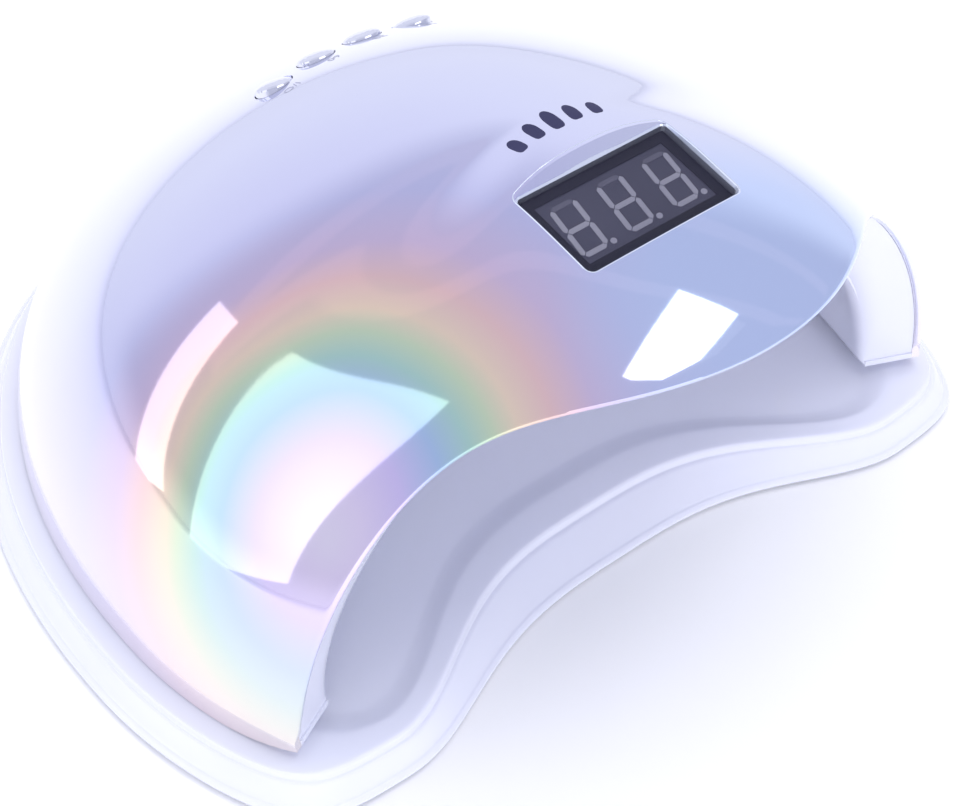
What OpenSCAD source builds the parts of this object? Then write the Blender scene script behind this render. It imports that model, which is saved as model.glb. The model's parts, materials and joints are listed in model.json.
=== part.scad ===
// Nail curing lamp: a pearl helmet-shaped head with a display, four keys and an
// open arch at the front, standing on a separate base tray. Millimetres, +Z up,
// the arch faces -Y, the origin is on the surface below the middle of the lamp.

/* [Head plan] */
// Half width of the head at its foot
head_side = 107.5; // [104:0.5:110]
// Reach of the head's outline in front of its middle
head_front = 106.5; // [104:0.5:109]
// Reach of the head's outline behind its middle
head_back = 129; // [124:1:132]
// Roundness of the front half of the outline
round_front = 2.05; // [1.9:0.05:2.2]
// Roundness of the back half of the outline
round_back = 2.15; // [2:0.05:2.3]

/* [Head profile] */
// Height of the head's lower edge
seat_z = 9.3; // [9.3:0.1:10]
// Height of the crown
crown_z = 110.4; // [108:0.2:113]
// Depth of the saddle between the crown and the brim
saddle = 2.5; // [0:0.1:3]
// Wall thickness of the cover
cover_wall = 2; // [1.8:0.1:2.2]
// Thickness of the hollow side walls
side_space = 16; // [15:0.5:17]
// Height of the hollow roof
roof_space = 22; // [21:0.5:24]
// Wall thickness of the reflector
liner_wall = 1.6; // [1.4:0.1:1.8]

/* [Base tray] */
// Width of the tray's flange beyond the head
flange = 10; // [9:0.5:11]
// Height of the tray's crest
crest_z = 9; // [8.6:0.1:9]
// Distance from the origin to the middle of the hollowed front
front_mid = 73.5; // [71:0.5:76]
// Distance from the origin to the tips of the two front lobes
front_lobe = 91.5; // [89:0.5:94]

/* [Display] */
// Width of the window
window_w = 41; // [40:0.2:42]
// Height of the window
window_h = 23; // [22:0.2:24]
// Backward tilt of the window
window_tilt = 10; // [8:0.5:12]

/* [Keys] */
// Diameter of a key
key_d = 9.4; // [9:0.1:9.6]
// Gap round a key
key_gap = 0.25; // [0.2:0.05:0.35]

/* [Hidden] */

plan_y = -30;               // middle of the outline
crown_y = -39.5;            // the crown stands in front of the middle
saddle_y = -78.5;           // middle of the saddle
front_rise = 0.47;          // fullness of the wall, front, side and back
side_rise = 0.61;
back_rise = 0.31;
front_flat = 1.10;          // flatness of the top, front, side and back
side_flat = 0.26;
back_flat = 0.49;
arch_mid = 0.31;            // the arch edge on the unit disc: middle and curl
arch_curl = 0.19;
arch_half = 0.875;          // half width of the arch edge on the unit disc
foot_angle = 63.6;          // where the arch edge meets the outline
cover_gap = 0.4;            // between the cover and the reflector
columns = 52;               // facets across a shell
rows = 20;                  // facets from the arch edge to the back
tray_steps = 96;            // facets round the tray
foot_h = 2;
magnet_r = 2.9;
magnet_angles = [-142, -74, 74, 142];
screw_angles = [-165, -100, 100, 165];
screw_r = 1.1;

// ---- shape of the head -------------------------------------------------

function unit(v) = v / norm(v);
function mix(a, b, t) = a * (1 - t) + b * t;

// Outline of the head, inset by a distance; phi is 0 at the front.
function outline(phi, inset) =
    let (s = sin(phi), c = cos(phi))
    let (n = c > 0 ? round_front : round_back)
    let (k = pow(pow(abs(s), n) + pow(abs(c), n), -1 / n))
    [(head_side - inset) * k * s,
     plan_y - ((c > 0 ? head_front : head_back) - inset) * k * c];

// The head's surface over a unit disc: its rim is the foot, its middle the crown.
function dome(m, inset, drop) =
    let (phi = atan2(m.x, -m.y), rho = min(1, norm(m)), s = 1 - rho, c = cos(phi))
    let (wf = c > 0 ? c * c : 0, wb = c < 0 ? c * c : 0, ws = 1 - wf - wb)
    let (rise = front_rise * wf + side_rise * ws + back_rise * wb)
    let (flat = front_flat * wf + side_flat * ws + back_flat * wb)
    let (b = outline(phi, inset))
    let (h = pow(rho, 3) + 3 * rho * rho * s + 3 * rho * s * s * flat)
    let (up = 3 * rho * rho * s * rise + 3 * rho * s * s + pow(s, 3))
    let (x = b.x * h, y = crown_y + (b.y - crown_y) * h)
    let (dip = saddle * exp(-pow(x / 30, 2) - pow((y - saddle_y) / 15, 2)))
    [x, y, seat_z + (crown_z - drop - seat_z) * up - dip];

function outward(m, inset, drop) =
    let (e = 0.01)
    let (dx = dome(m + [e, 0], inset, drop) - dome(m - [e, 0], inset, drop))
    let (dy = dome(m + [0, e], inset, drop) - dome(m - [0, e], inset, drop))
    unit(cross(dx, dy));

// The arch edge and the foot, both for u from -1 (left) to 1 (right).
function arch_edge(u) =
    let (x = arch_half * abs(u))
    [sign(u) * x, -arch_mid - arch_curl * pow(x, 3.5)];
function foot_edge(u) =
    let (phi = 180 - (180 - foot_angle) * abs(u))
    (u < 0 ? [-sin(phi), -cos(phi)] : [sin(phi), -cos(phi)]);
function sheet(u, v) = mix(arch_edge(u), foot_edge(u), v);

function spread(i, n) = let (t = 2 * i / n - 1) sign(t) * (1 - pow(1 - abs(t), 1.15));

// Closed sheet between two grids of the same size, the inner one first.
module closed_sheet(front, back) {
    nr = len(front);
    nc = len(front[0]);
    all = concat([for (r = front) each r], [for (r = back) each r]);
    o = nr * nc;
    cells = [for (i = [0:nr - 2]) for (j = [0:nc - 2]) i * nc + j];
    polyhedron(all, concat(
        [for (k = cells) each [[k, k + 1, k + nc + 1], [k, k + nc + 1, k + nc]]],
        [for (k = cells) each [[o + k, o + k + nc + 1, o + k + 1],
                               [o + k, o + k + nc, o + k + nc + 1]]],
        [for (j = [0:nc - 2]) each [[j, o + j, o + j + 1], [j, o + j + 1, j + 1]]],
        [for (j = [0:nc - 2]) let (k = (nr - 1) * nc + j)
            each [[k, k + 1, o + k + 1], [k, o + k + 1, o + k]]],
        [for (i = [0:nr - 2]) let (k = i * nc)
            each [[k, k + nc, o + k + nc], [k, o + k + nc, o + k]]],
        [for (i = [0:nr - 2]) let (k = i * nc + nc - 1)
            each [[k, o + k + nc, k + nc], [k, o + k, o + k + nc]]]));
}

// Round lead swept along points, in a plane that roughly faces the direction side.
module lead(path, r, side) {
    sides = 8;
    last = len(path) - 1;
    rings = [for (i = [0:last])
        let (d = unit(path[min(i + 1, last)] - path[max(i - 1, 0)]))
        let (a = unit(cross(d, side)), b = cross(d, a))
        for (k = [0:sides - 1]) path[i] + r * (cos(k * 45) * a + sin(k * 45) * b)];
    polyhedron(rings, concat(
        [[for (k = [0:sides - 1]) k]],
        [[for (k = [0:sides - 1]) last * sides + sides - 1 - k]],
        [for (i = [0:last - 1]) for (k = [0:sides - 1])
            let (p = i * sides + k, q = i * sides + (k + 1) % sides)
            each [[p, q + sides, q], [p, p + sides, q + sides]]]));
}

// Turns +Z onto the direction n and moves to p.
module aim(p, n) {
    translate(p) rotate([0, acos(n.z), atan2(n.y, n.x)]) children();
}

// ---- base tray ---------------------------------------------------------

function front_line(x, mid, lobe) =
    mid + (lobe - mid) * (1 - cos(180 * pow(min(1, abs(x) / 77), 1.55))) / 2;

// One ring of the tray: the head's outline, limited in front by a hollow line.
function tray_ring(inset, mid, lobe, z) =
    [for (i = [0:tray_steps - 1])
        let (p = outline(360 * i / tray_steps, inset - flange), f = front_line(p.x, mid, lobe))
        [p.x, p.y < 0 ? -pow(pow(max(-p.y, 0.01), -12) + pow(f, -12), -1 / 12) : p.y, z]];

module tray_shell() {
    m = front_mid;
    l = front_lobe;
    rings = [
        tray_ring(2.6, m - 2.6, l - 2.6, 1),
        tray_ring(0.6, m - 0.6, l - 0.6, 1),
        tray_ring(0, m, l, 1.8),
        tray_ring(0.5, m - 0.5, l - 0.5, 2.6),
        tray_ring(1.4, m - 1.6, l - 1.4, 3),
        tray_ring(4.3, m - 10.5, l - 4, 7.2),
        tray_ring(4.8, m - 11.4, l - 4.8, 7.3),
        tray_ring(5.2, m - 12, l - 5.3, crest_z - 0.4),
        tray_ring(6.2, m - 13.4, l - 6.4, crest_z),
        tray_ring(19.2, m - 22, l - 11, crest_z),
        tray_ring(20.8, m - 24.5, l - 12.8, crest_z - 1.5),
        tray_ring(40, m - 38, l - 30, crest_z - 1.8)
    ];
    under = [
        tray_ring(40, m - 38, l - 30, 5.2),
        tray_ring(22.6, m - 27, l - 15, 5.2),
        tray_ring(20.6, m - 24, l - 13, 6.6),
        tray_ring(7.4, m - 15, l - 8, 6.6)
    ];
    stack = concat(rings, under);
    points = concat([for (r = stack) each r], [[0, 0, crest_z - 1.8], [0, 0, 5.2]]);
    n = tray_steps;
    top = len(rings);
    mid_top = len(stack) * n;
    polyhedron(points, concat(
        [for (r = [0:len(stack) - 1]) if (r != top - 1) for (i = [0:n - 1])
            let (a = r * n + i, b = r * n + (i + 1) % n, s = (r + 1) % len(stack))
            let (c = s * n + (i + 1) % n, d = s * n + i)
            each [[a, c, b], [a, d, c]]],
        [for (i = [0:n - 1]) [(top - 1) * n + (i + 1) % n, (top - 1) * n + i, mid_top]],
        [for (i = [0:n - 1]) [top * n + i, top * n + (i + 1) % n, mid_top + 1]]));
}

foot_spots = [for (x = [-1, 1]) each [[76 * x, -68], [98 * x, -4], [52 * x, 74]]];
function magnet_spot(phi) = outline(phi, 6.1);

module base_tray() {
    color([0.93, 0.93, 0.97])
    difference() {
        union() {
            tray_shell();
            for (p = foot_spots)
                translate([p.x, p.y, foot_h]) cylinder(h = 3.6, r = 6.5, $fn = 48);
            for (a = magnet_angles)
                translate([magnet_spot(a).x, magnet_spot(a).y, 5.6])
                    cylinder(h = 1.2, r = 4.4, $fn = 48);
        }
        for (a = magnet_angles)
            translate([magnet_spot(a).x, magnet_spot(a).y, crest_z - 2])
                cylinder(h = 3, r = magnet_r, $fn = 48);
    }
}

module base_feet() {
    color([0.2, 0.2, 0.22])
    for (p = foot_spots)
        translate(p) cylinder(h = foot_h, r = 5.8, $fn = 48);
}

module base_magnets() {
    color([0.7, 0.7, 0.72])
    for (a = magnet_angles)
        translate([magnet_spot(a).x, magnet_spot(a).y, crest_z - 2])
            cylinder(h = 2, r = magnet_r, $fn = 48);
}

// ---- places on the head ------------------------------------------------

// The window's plane: x to the right, y up the window, z out of it.
window_mid = [0, -66, 105.2];
module at_window() {
    translate(window_mid) rotate([window_tilt, 0, 0]) children();
}

// The keys share one axis and stand on an arc.
key_discs = [[-0.134, 0.358], [-0.044, 0.364], [0.044, 0.364], [0.134, 0.358]];
key_axis = outward([0, 0.362], 0, 0);
module at_key(i) {
    aim(dome(key_discs[i], 0, 0), key_axis) rotate(90) children();
}
board_depth = 11.4;         // from the cover's face down to the control board
board_mid = dome([0, 0.362], 0, 0) - board_depth * key_axis;

// Diodes on the cavity wall: three rows of [angle, share of the way up].
led_places = concat(
    [for (i = [0:11]) [80 + i * 200 / 11, 0.17]],
    [for (i = [0:9]) [78 + i * 204 / 9, 0.38]],
    [for (i = [0:7]) [70 + i * 220 / 7, 0.62]]);
function led_disc(p) = (1 - p[1]) * [sin(p[0]), -cos(p[0])];
module at_led(p) {
    m = led_disc(p);
    aim(dome(m, side_space, roof_space), outward(m, side_space, roof_space)) children();
}

jack_z = 21;
jack_y = 97.1;              // the jack's mouth, flush with the cover
jack_r = 5.4;
jack_neck = 6.2;            // length of the round nose in front of the square body
jack_w = 11;
jack_l = 14;

// Presence sensors in the cavity's roof near the arch.
sensor_r = 2;
module at_sensor(side) {
    m = [side * 0.30, -0.1];
    aim(dome(m, side_space, roof_space), outward(m, side_space, roof_space)) children();
}

// ---- cover -------------------------------------------------------------

module cover_shell() {
    grid = function (inset) [for (i = [0:rows]) [for (j = [0:columns])
        dome(sheet(spread(j, columns), pow(i / rows, 0.9)), inset, inset)]];
    closed_sheet(grid(cover_wall), grid(0));
}

module outer_cover() {
    color([0.83, 0.83, 0.95])
    difference() {
        union() {
            cover_shell();
            for (a = screw_angles)
                translate([outline(a, 5).x, outline(a, 5).y, seat_z + liner_wall + 0.1])
                    cylinder(h = 9, r = 3.2, $fn = 32);
        }
        at_window() translate([0, 0, -8])
            linear_extrude(20) square([window_w + 2.6, window_h + 2.6], center = true);
        at_window() translate([0, window_h / 2, 1.2]) rotate([-50, 0, 0])
            translate([0, 5, -4]) cube([window_w - 6, 10, 10], center = true);
        for (i = [0:3])
            at_key(i) translate([0, 0, -6])
                cylinder(h = 12, r = key_d / 2 + key_gap, $fn = 48);
        for (a = screw_angles)
            translate([outline(a, 5).x, outline(a, 5).y, seat_z])
                cylinder(h = 9, r = screw_r, $fn = 32);
        translate([0, jack_y - 8, jack_z]) rotate([-90, 0, 0])
            cylinder(h = 16, r = jack_r + 0.1, $fn = 48);
    }
}

// ---- reflector ---------------------------------------------------------

lip = 2;                    // depth of the reflector's rim under the brim
taper = 0.13;               // share of the way back over which the roof deepens
function ease(t) = let (c = min(1, max(0, t))) c * c * (3 - 2 * c);
// The hollow is full behind the legs of the arch, and deepens gradually behind the brim.
function depth_share(u, v) =
    let (legs = ease((abs(u) - 0.3) / 0.42)) legs + (1 - legs) * ease(v / taper);

module liner_shell() {
    skin = cover_wall + cover_gap;
    us = [for (j = [0:columns]) spread(j, columns)];
    edge = 0.016;
    function slide(u) = min(0.45, edge / norm(foot_edge(u) - arch_edge(u)));
    function wall(t, v) = [for (u = us)
        let (d = depth_share(u, v), base = skin + lip)
        dome(sheet(u, slide(u) * t * (1 - v) + v),
             base + (side_space - base) * d - liner_wall * t,
             base + (roof_space - base) * d - liner_wall * t)];
    function brim(t) = [for (u = us) dome(sheet(u, slide(u) * t), skin, skin)];
    function lift(row, t) = [for (p = row) p + [0, 0, liner_wall * t]];
    function face(t) = concat(
        [brim(t)],
        [for (i = [0:rows - 1]) wall(t, pow(i / rows, 0.9))],
        [lift(wall(t, 1), t)],
        [lift([for (u = us) dome(foot_edge(u), skin, skin)], t)]);
    closed_sheet(face(0), face(1));
}

post_discs = [[-0.19, 0.30], [0.19, 0.30], [-0.19, 0.44], [0.19, 0.44]];
function post_base(m) = dome(m, side_space - liner_wall, roof_space - liner_wall);
function post_len(m) = (board_mid - post_base(m)) * key_axis - 1.6;

module inner_reflector() {
    color([0.95, 0.95, 0.98])
    difference() {
        union() {
            liner_shell();
            for (m = post_discs)
                aim(post_base(m) - 0.9 * key_axis, key_axis)
                    cylinder(h = post_len(m) + 0.9, r = 2.6, $fn = 32);
            translate([-8.5, jack_y - 17.6, seat_z]) cube([17, 9.4, 19.4]);
        }
        translate([-6.9, jack_y - 16, seat_z + liner_wall]) cube([13.8, 20, 16.2]);
        translate([0, jack_y - 11, jack_z]) cylinder(h = 14, r = 1.9, $fn = 32);
        for (x = [-1, 1])
            at_sensor(x) translate([0, 0, -4]) cylinder(h = 8, r = sensor_r + 0.2, $fn = 32);
        for (p = led_places)
            at_led(p) translate([0, 0, -4]) cylinder(h = 8, r = 2.8, $fn = 32);
        for (m = post_discs)
            aim(post_base(m) + 1.2 * key_axis, key_axis)
                cylinder(h = post_len(m), r = 0.8, $fn = 24);
        for (a = screw_angles)
            translate([outline(a, 5).x, outline(a, 5).y, seat_z - 1]) {
                cylinder(h = 2.2, r = 2.4, $fn = 32);
                cylinder(h = 4, r = 1.3, $fn = 32);
            }
    }
}

module housing_magnets() {
    color([0.7, 0.7, 0.72])
    for (a = magnet_angles)
        translate([magnet_spot(a).x, magnet_spot(a).y, seat_z + liner_wall])
            cylinder(h = 3, r = magnet_r - 0.9, $fn = 48);
}

module housing_screws() {
    color([0.6, 0.6, 0.63])
    for (a = screw_angles)
        translate([outline(a, 5).x, outline(a, 5).y, seat_z]) difference() {
            union() {
                cylinder(h = 1.1, r = 2.2, $fn = 32);
                cylinder(h = 8, r = screw_r - 0.05, $fn = 32);
            }
            for (q = [0, 90])
                rotate(q) translate([-1.3, -0.25, -0.1]) cube([2.6, 0.5, 0.7]);
        }
}

// ---- display -----------------------------------------------------------

module plate(w, h, t, r) {
    linear_extrude(t) hull()
        for (x = [-1, 1], y = [-1, 1])
            translate([x * (w / 2 - r), y * (h / 2 - r)]) circle(r = r, $fn = 24);
}

module display_bezel() {
    color([0.88, 0.89, 0.97])
    at_window() difference() {
        union() {
            translate([0, 0, -4]) plate(window_w + 2.2, window_h + 2.2, 4.3, 1.6);
            translate([0, window_h / 2 + 1.1, 0]) rotate([90, 0, 0])
                linear_extrude(1.2) intersection() {
                    translate([0, -54.6]) circle(r = 58, $fn = 96);
                    translate([-20, 0]) square([40, 8]);
                }
        }
        translate([0, 0, -5]) plate(window_w, window_h, 20, 1);
    }
}

module display_window() {
    color([0.08, 0.08, 0.12])
    at_window() translate([0, 0, -1.7]) plate(window_w - 0.2, window_h - 0.2, 1.5, 0.9);
}

module_w = 37.6;
module_h = 18.8;

module display_module() {
    color([0.3, 0.3, 0.36])
    at_window() translate([-module_w / 2, -module_h / 2, -10]) cube([module_w, module_h, 7.9]);
}

// One digit lying on the module, slanted like its bars.
module digit() {
    w = 6.6;
    h = 6.2;
    t = 1.3;
    lean = 0.17;
    multmatrix([[1, lean, 0, 0], [0, 1, 0, 0], [0, 0, 1, 0]])
    linear_extrude(0.15) {
        for (y = [-h, 0, h])
            translate([0, y]) square([w - t, t], center = true);
        for (x = [-1, 1], y = [-1, 1])
            translate([x * w / 2, y * h / 2]) square([t, h - t], center = true);
        translate([w / 2 + 2, -h]) circle(d = 1.5, $fn = 24);
    }
}

module display_segments() {
    color([0.66, 0.66, 0.77])
    at_window() for (i = [-1:1])
        translate([i * 12.6 - 1, 0, -2.1]) digit();
}

module display_board() {
    color([0.1, 0.4, 0.25])
    at_window() translate([-21, -11, -11.6]) cube([42, 22, 1.6]);
}

// ---- keys and control board --------------------------------------------

key_stem = 5.6;             // from the cover's face down to the stem's end
key_rim = 4.5;              // and down to the flange that holds the key in
key_crown = 1.3;            // rise of the key's domed face
module key_cap() {
    r = key_d / 2;
    rotate_extrude($fn = 64) polygon(concat(
        [[0, -key_stem], [2, -key_stem], [2, -key_rim], [r + 0.9, -key_rim],
         [r + 0.9, -key_rim + 0.6], [r, -key_rim + 0.6], [r, 0.2]],
        [for (a = [15:15:90]) [r * cos(a), 0.2 + key_crown * sin(a)]]));
}

module key(i) {
    color([0.85, 0.86, 0.93]) at_key(i) key_cap();
}
module key_power() { key(0); }
module key_low() { key(1); }
module key_mid() { key(2); }
module key_high() { key(3); }

// Height of the board's face below a key's own place on the cover.
function key_floor(i) = (dome(key_discs[i], 0, 0) - board_mid) * key_axis;

switch_w = 6;
switch_h = 2.4;
module key_switches() {
    color([0.15, 0.15, 0.16])
    for (i = [0:3])
        at_key(i) translate([0, 0, -key_floor(i)]) {
            translate([-switch_w / 2, -switch_w / 2, 0]) cube([switch_w, switch_w, switch_h]);
            cylinder(h = key_floor(i) - key_stem - 1.1, r = 1.7, $fn = 32);
        }
}

module control_board() {
    color([0.1, 0.4, 0.25])
    difference() {
        aim(board_mid, key_axis) rotate(90)
            translate([-30, -14, -1.6]) cube([60, 28, 1.6]);
        for (m = post_discs)
            aim(post_base(m), key_axis) cylinder(h = 30, r = 1.1, $fn = 24);
    }
}

module control_chips() {
    color([0.12, 0.12, 0.13])
    aim(board_mid, key_axis) rotate(90) {
        translate([-5, -11.5, 0]) cube([10, 5, 1.6]);
        translate([-18, -11, 0]) cube([5, 4, 1.6]);
        translate([13, -11, 0]) cube([5, 4, 1.6]);
    }
}

module board_screws() {
    color([0.6, 0.6, 0.63])
    for (m = post_discs)
        aim(post_base(m) + (post_len(m) + 1.6) * key_axis, key_axis) {
            cylinder(h = 1, r = 1.8, $fn = 32);
            translate([0, 0, -5]) cylinder(h = 5.5, r = 0.75, $fn = 24);
        }
}

// ---- lights ------------------------------------------------------------

module led_pads() {
    color([0.9, 0.9, 0.85])
    for (p = led_places)
        at_led(p) translate([0, 0, liner_wall + 0.25]) cylinder(h = 1, r = 4, $fn = 32);
}

module led_lenses() {
    color([0.93, 0.9, 0.7])
    for (p = led_places)
        at_led(p) {
            translate([0, 0, -0.4]) cylinder(h = liner_wall + 0.65, r = 2.5, $fn = 32);
            intersection() {
                translate([0, 0, 0.9]) sphere(r = 2.82, $fn = 32);
                translate([0, 0, -2.4]) cylinder(h = 2, r = 2.5, $fn = 32);
            }
        }
}

// Rows of wire behind the diodes, midway between cover and pads.
function run(s, from, to, n) =
    [for (i = [0:n]) let (a = from + (to - from) * i / n)
        dome((1 - s) * [sin(a), -cos(a)], 5, 5 + 4 * s)];

lead_r = 0.6;
module led_leads() {
    color([0.8, 0.2, 0.2]) {
        lead(run(0.17, 84, 168, 16), lead_r, [0, 0, 1]);
        lead(run(0.17, 192, 276, 16), lead_r, [0, 0, 1]);
        lead(run(0.38, 78, 160, 16), lead_r, [0, 0, 1]);
        lead(run(0.38, 200, 282, 16), lead_r, [0, 0, 1]);
    }
}

module presence_sensors() {
    color([0.1, 0.1, 0.12])
    for (x = [-1, 1])
        at_sensor(x) translate([0, 0, -0.8]) cylinder(h = 4, r = sensor_r, $fn = 32);
}

// ---- power inlet -------------------------------------------------------

jack_bore = 3.2;
jack_collar = 1.6;
module dc_jack_body() {
    color([0.1, 0.1, 0.11])
    translate([0, jack_y, jack_z]) rotate([90, 0, 0]) difference() {
        union() {
            cylinder(h = jack_neck + 1, r = jack_r, $fn = 48);
            translate([-jack_w / 2, -jack_w / 2, jack_neck])
                cube([jack_w, jack_w, jack_l - jack_neck]);
        }
        translate([0, 0, -1]) cylinder(h = 11, r = jack_bore, $fn = 48);
        cylinder(h = 12, r = jack_collar, $fn = 32);
        translate([3, -0.8, 2]) cube([1, 1.6, 8]);
    }
}

module dc_jack_pin() {
    color([0.8, 0.7, 0.4])
    translate([0, jack_y - 12, jack_z]) rotate([-90, 0, 0]) {
        cylinder(h = 2, r = jack_collar, $fn = 32);
        cylinder(h = 11, r = 1.05, $fn = 32);
    }
}

module dc_jack_contact() {
    color([0.8, 0.7, 0.4])
    translate([3.1, jack_y - 9.8, jack_z - 0.7]) cube([0.8, 7.4, 1.4]);
}

module power_lead() {
    color([0.15, 0.15, 0.16])
    lead(concat([[0, jack_y - 11, jack_z + jack_w / 2 + 0.1], [0, jack_y - 11, jack_z + 9]],
        [for (i = [5:11]) dome([0, 1 - 0.045 * i], 5.2, 6 + i * 0.35)]), 1, [1, 0, 0]);
}

module display_lead() {
    color([0.75, 0.75, 0.78])
    lead([for (i = [0:10]) dome([0.05, 0.03 + 0.026 * i], 12, 12.5)], 0.9, [1, 0, 0]);
}

base_tray();
base_feet();
base_magnets();
outer_cover();
inner_reflector();
housing_magnets();
housing_screws();
display_bezel();
display_window();
display_module();
display_segments();
display_board();
key_power();
key_low();
key_mid();
key_high();
key_switches();
control_board();
control_chips();
board_screws();
led_pads();
led_lenses();
led_leads();
presence_sensors();
dc_jack_body();
dc_jack_pin();
dc_jack_contact();
power_lead();
display_lead();
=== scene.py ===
"""Looks of the nail curing lamp: smooth shells, display, keys, materials, light and camera."""
import json
import math

import bmesh
import bpy
import numpy as np
from mathutils import Matrix, Quaternion, Vector
from mathutils.bvhtree import BVHTree


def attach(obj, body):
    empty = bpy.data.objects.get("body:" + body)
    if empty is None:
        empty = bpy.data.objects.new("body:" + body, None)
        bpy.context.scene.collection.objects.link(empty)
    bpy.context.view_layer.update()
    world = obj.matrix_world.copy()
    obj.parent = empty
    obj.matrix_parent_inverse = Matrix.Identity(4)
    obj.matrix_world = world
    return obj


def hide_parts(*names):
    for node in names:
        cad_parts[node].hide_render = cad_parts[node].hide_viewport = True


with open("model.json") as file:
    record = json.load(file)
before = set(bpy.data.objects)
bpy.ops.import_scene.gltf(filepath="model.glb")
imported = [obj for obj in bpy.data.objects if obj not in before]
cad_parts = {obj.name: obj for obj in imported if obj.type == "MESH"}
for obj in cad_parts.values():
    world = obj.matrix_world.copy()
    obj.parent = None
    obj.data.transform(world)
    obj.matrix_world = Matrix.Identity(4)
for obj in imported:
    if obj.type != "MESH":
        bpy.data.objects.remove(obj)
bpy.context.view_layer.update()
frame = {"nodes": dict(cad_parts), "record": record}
MM = 0.001

# ---- sizes in millimetres ------------------------------------------------
# They are the model's, but for two: the saddle is 0.3 mm shallower and wider, and the
# reflector stands 0.34 mm nearer the cover, which closes a dark line between them.

SIDE, FRONT, BACK = 107.5, 106.5, 129.0       # head outline about PLAN_Y
ROUND_FRONT, ROUND_BACK = 2.05, 2.15
PLAN_Y, CROWN_Y, SADDLE_Y = -30.0, -39.5, -78.5
SEAT_Z, CROWN_Z, SADDLE = 9.3, 110.4, 2.2
SADDLE_WIDE, SADDLE_DEEP = 42.0, 20.0         # reach of the saddle across and along
RISE = (0.47, 0.61, 0.31)                     # front, side, back
FLAT = (1.10, 0.26, 0.49)
ARCH_MID, ARCH_CURL, ARCH_HALF, FOOT_ANGLE = 0.31, 0.19, 0.875, 63.6
WALL, SKIN, LINER = 2.0, 2.06, 1.6
SIDE_SPACE, ROOF_SPACE = 16.0, 22.0
LIP, TAPER, RIM_ROUND = 2.0, 0.13, 2.6        # reflector rim under the brim
FLANGE, CREST_Z, FRONT_MID, FRONT_LOBE = 10.0, 9.0, 73.5, 91.5
WINDOW_W, WINDOW_H, WINDOW_TILT = 41.0, 23.0, 10.0
WINDOW_MID = (0.0, -66.0, 105.2)
KEY_R, KEY_GAP = 4.7, 0.25
KEY_DISCS = ((-0.134, 0.358), (-0.044, 0.364), (0.044, 0.364), (0.134, 0.358))
JACK_Y, JACK_Z, JACK_R = 97.1, 21.0, 5.4
DISC_MM = 110.0                               # length of a disc unit, roughly

# Pearl colour, partly a painted reflection: a pale highlight and rainbow rings where the coat mirrors
# the left softbox, by distance from RING_MID, in millimetres and screen colours
RING_MID, RING_REACH = (-80, -70, 60), 150.0
SKY_REFLECTION_MID = (12, -98, 98)
PEARL_SHEEN_RINGS = (
    (0, (252, 246, 255)), (12, (246, 232, 255)), (21, (228, 214, 255)), (30, (186, 212, 244)),
    (37, (190, 228, 214)), (42, (218, 236, 200)), (47, (255, 232, 204)), (54, (250, 212, 208)),
    (62, (226, 206, 232)), (74, (212, 212, 246)), (100, (226, 228, 252)), (150, (238, 240, 255)),
)


# ---- shape of the head ---------------------------------------------------

def by_side(phi, values):
    """Blends the front, side and back values round the head."""
    c = np.cos(phi)
    front, back = np.where(c > 0, c * c, 0), np.where(c < 0, c * c, 0)
    return values[0] * front + values[1] * (1 - front - back) + values[2] * back


def outline(phi, inset):
    s, c = np.sin(phi), np.cos(phi)
    n = np.where(c > 0, ROUND_FRONT, ROUND_BACK)
    k = (np.abs(s) ** n + np.abs(c) ** n) ** (-1 / n)
    return (SIDE - inset) * k * s, PLAN_Y - (np.where(c > 0, FRONT, BACK) - inset) * k * c


def dome(m, inset=0.0, drop=None):
    """The head's surface over the unit disc, in millimetres."""
    m = np.asarray(m, float)
    drop = inset if drop is None else drop
    phi = np.arctan2(m[..., 0], -m[..., 1])
    rho = np.minimum(1, np.hypot(m[..., 0], m[..., 1]))
    s = 1 - rho
    bx, by = outline(phi, inset)
    h = rho ** 3 + 3 * rho * rho * s + 3 * rho * s * s * by_side(phi, FLAT)
    up = 3 * rho * rho * s * by_side(phi, RISE) + 3 * rho * s * s + s ** 3
    x, y = bx * h, CROWN_Y + (by - CROWN_Y) * h
    dip = SADDLE * np.exp(-(x / SADDLE_WIDE) ** 2 - ((y - SADDLE_Y) / SADDLE_DEEP) ** 2)
    return np.stack([x, y, SEAT_Z + (CROWN_Z - drop - SEAT_Z) * up - dip], -1)


def outward(m, inset=0.0, drop=0.0):
    e = 0.01
    m = np.asarray(m, float)
    dx = dome(m + [e, 0], inset, drop) - dome(m - [e, 0], inset, drop)
    dy = dome(m + [0, e], inset, drop) - dome(m - [0, e], inset, drop)
    n = np.cross(dx, dy)
    return Vector(n / np.linalg.norm(n))


def arch_edge(u):
    x = ARCH_HALF * np.abs(u)
    return np.stack([np.sign(u) * x, -ARCH_MID - ARCH_CURL * x ** 3.5], -1)


def foot_edge(u):
    phi = np.radians(180 - (180 - FOOT_ANGLE) * np.abs(u))
    lift = 1 - 0.016 * np.clip((np.abs(u) - 0.9) / 0.1, 0, 1) ** 2
    return np.stack([np.where(u < 0, -1, 1) * np.sin(phi) * lift, -np.cos(phi) * lift], -1)


def sheet(u, v):
    """Disc places for the columns u at v along each, 0 at the arch and 1 at the foot."""
    v = np.asarray(v, float)[..., None] if np.ndim(v) else v
    return arch_edge(u) * (1 - v) + foot_edge(u) * v


def spread(count):
    t = np.linspace(-1, 1, count)
    return np.sign(t) * (1 - (1 - np.abs(t)) ** 1.15)


# ---- mesh helpers --------------------------------------------------------

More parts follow.
